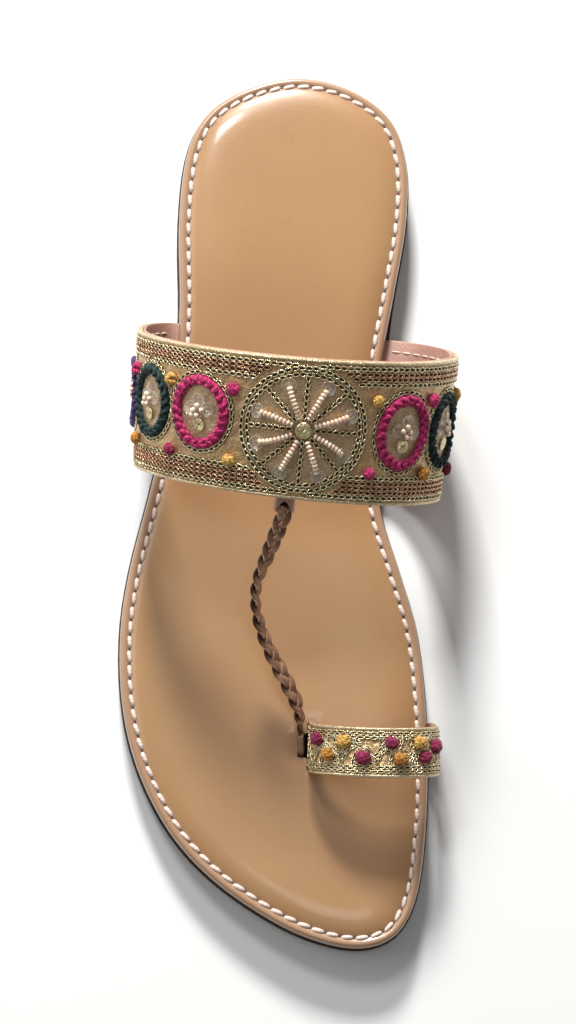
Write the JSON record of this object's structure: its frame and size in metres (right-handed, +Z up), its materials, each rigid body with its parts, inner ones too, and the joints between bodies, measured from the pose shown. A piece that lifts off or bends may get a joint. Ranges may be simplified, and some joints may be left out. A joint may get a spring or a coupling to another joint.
{
  "type": "kolhapuri sandal",
  "caption": "Flat toe-ring sandal for the right foot: embroidered arched instep band, toe ring and the plaited strap that joins them, on a stitched footbed.",
  "frame": {"origin": "middle of the heel's tread, on the floor", "axes": "+X to the outer (lateral) side of the right foot, +Y to the toe, +Z up"},
  "size_m": [0.0954, 0.254, 0.0772],
  "materials": {
    "outsole_rubber": "matt dark brown moulded rubber",
    "footbed_leather": "smooth glossy tan leather, padded, stitched round its edge",
    "gold_cloth": "pale gold tissue cloth with metallic chain stitch, pink lining",
    "copper_leather": "satin copper metallic leather",
    "stitched_gold": "gold chain stitch with pearl beads and sequins",
    "wool_pink": "matt pink wool yarn",
    "wool_rose": "matt rose wool yarn",
    "wool_green": "matt green wool yarn",
    "wool_purple": "matt purple wool yarn",
    "wool_yellow": "matt yellow wool yarn",
    "wool_orange": "matt orange wool yarn"
  },
  "bodies": {
    "root": {"outsole": "outsole_rubber", "footbed": "footbed_leather", "instep_band": "gold_cloth", "toe_ring": "gold_cloth", "plait": "copper_leather", "plait_tab": "copper_leather", "rosette": "stitched_gold", "yarn_ring_pink_outer": "wool_pink", "yarn_ring_green_outer": "wool_green", "yarn_ring_purple_outer": "wool_purple", "yarn_ring_pink_inner": "wool_pink", "yarn_ring_green_inner": "wool_green", "yarn_ring_purple_inner": "wool_purple", "band_knot_outer_1_heel": "wool_pink", "band_knot_outer_1_toe": "wool_yellow", "band_knot_outer_2_heel": "wool_yellow", "band_knot_outer_2_toe": "wool_rose", "band_knot_outer_3_heel": "wool_pink", "band_knot_outer_3_toe": "wool_orange", "band_knot_inner_1_heel": "wool_yellow", "band_knot_inner_1_toe": "wool_pink", "band_knot_inner_2_heel": "wool_pink", "band_knot_inner_2_toe": "wool_orange", "band_knot_inner_3_heel": "wool_yellow", "band_knot_inner_3_toe": "wool_rose", "ring_knot_1": "wool_pink", "ring_knot_2": "wool_orange", "ring_knot_3": "wool_yellow", "ring_knot_4": "wool_pink", "ring_knot_5": "wool_pink", "ring_knot_6": "wool_orange", "ring_knot_7": "wool_yellow", "ring_knot_8": "wool_rose", "ring_knot_9": "wool_pink"}
  },
  "joints": []
}
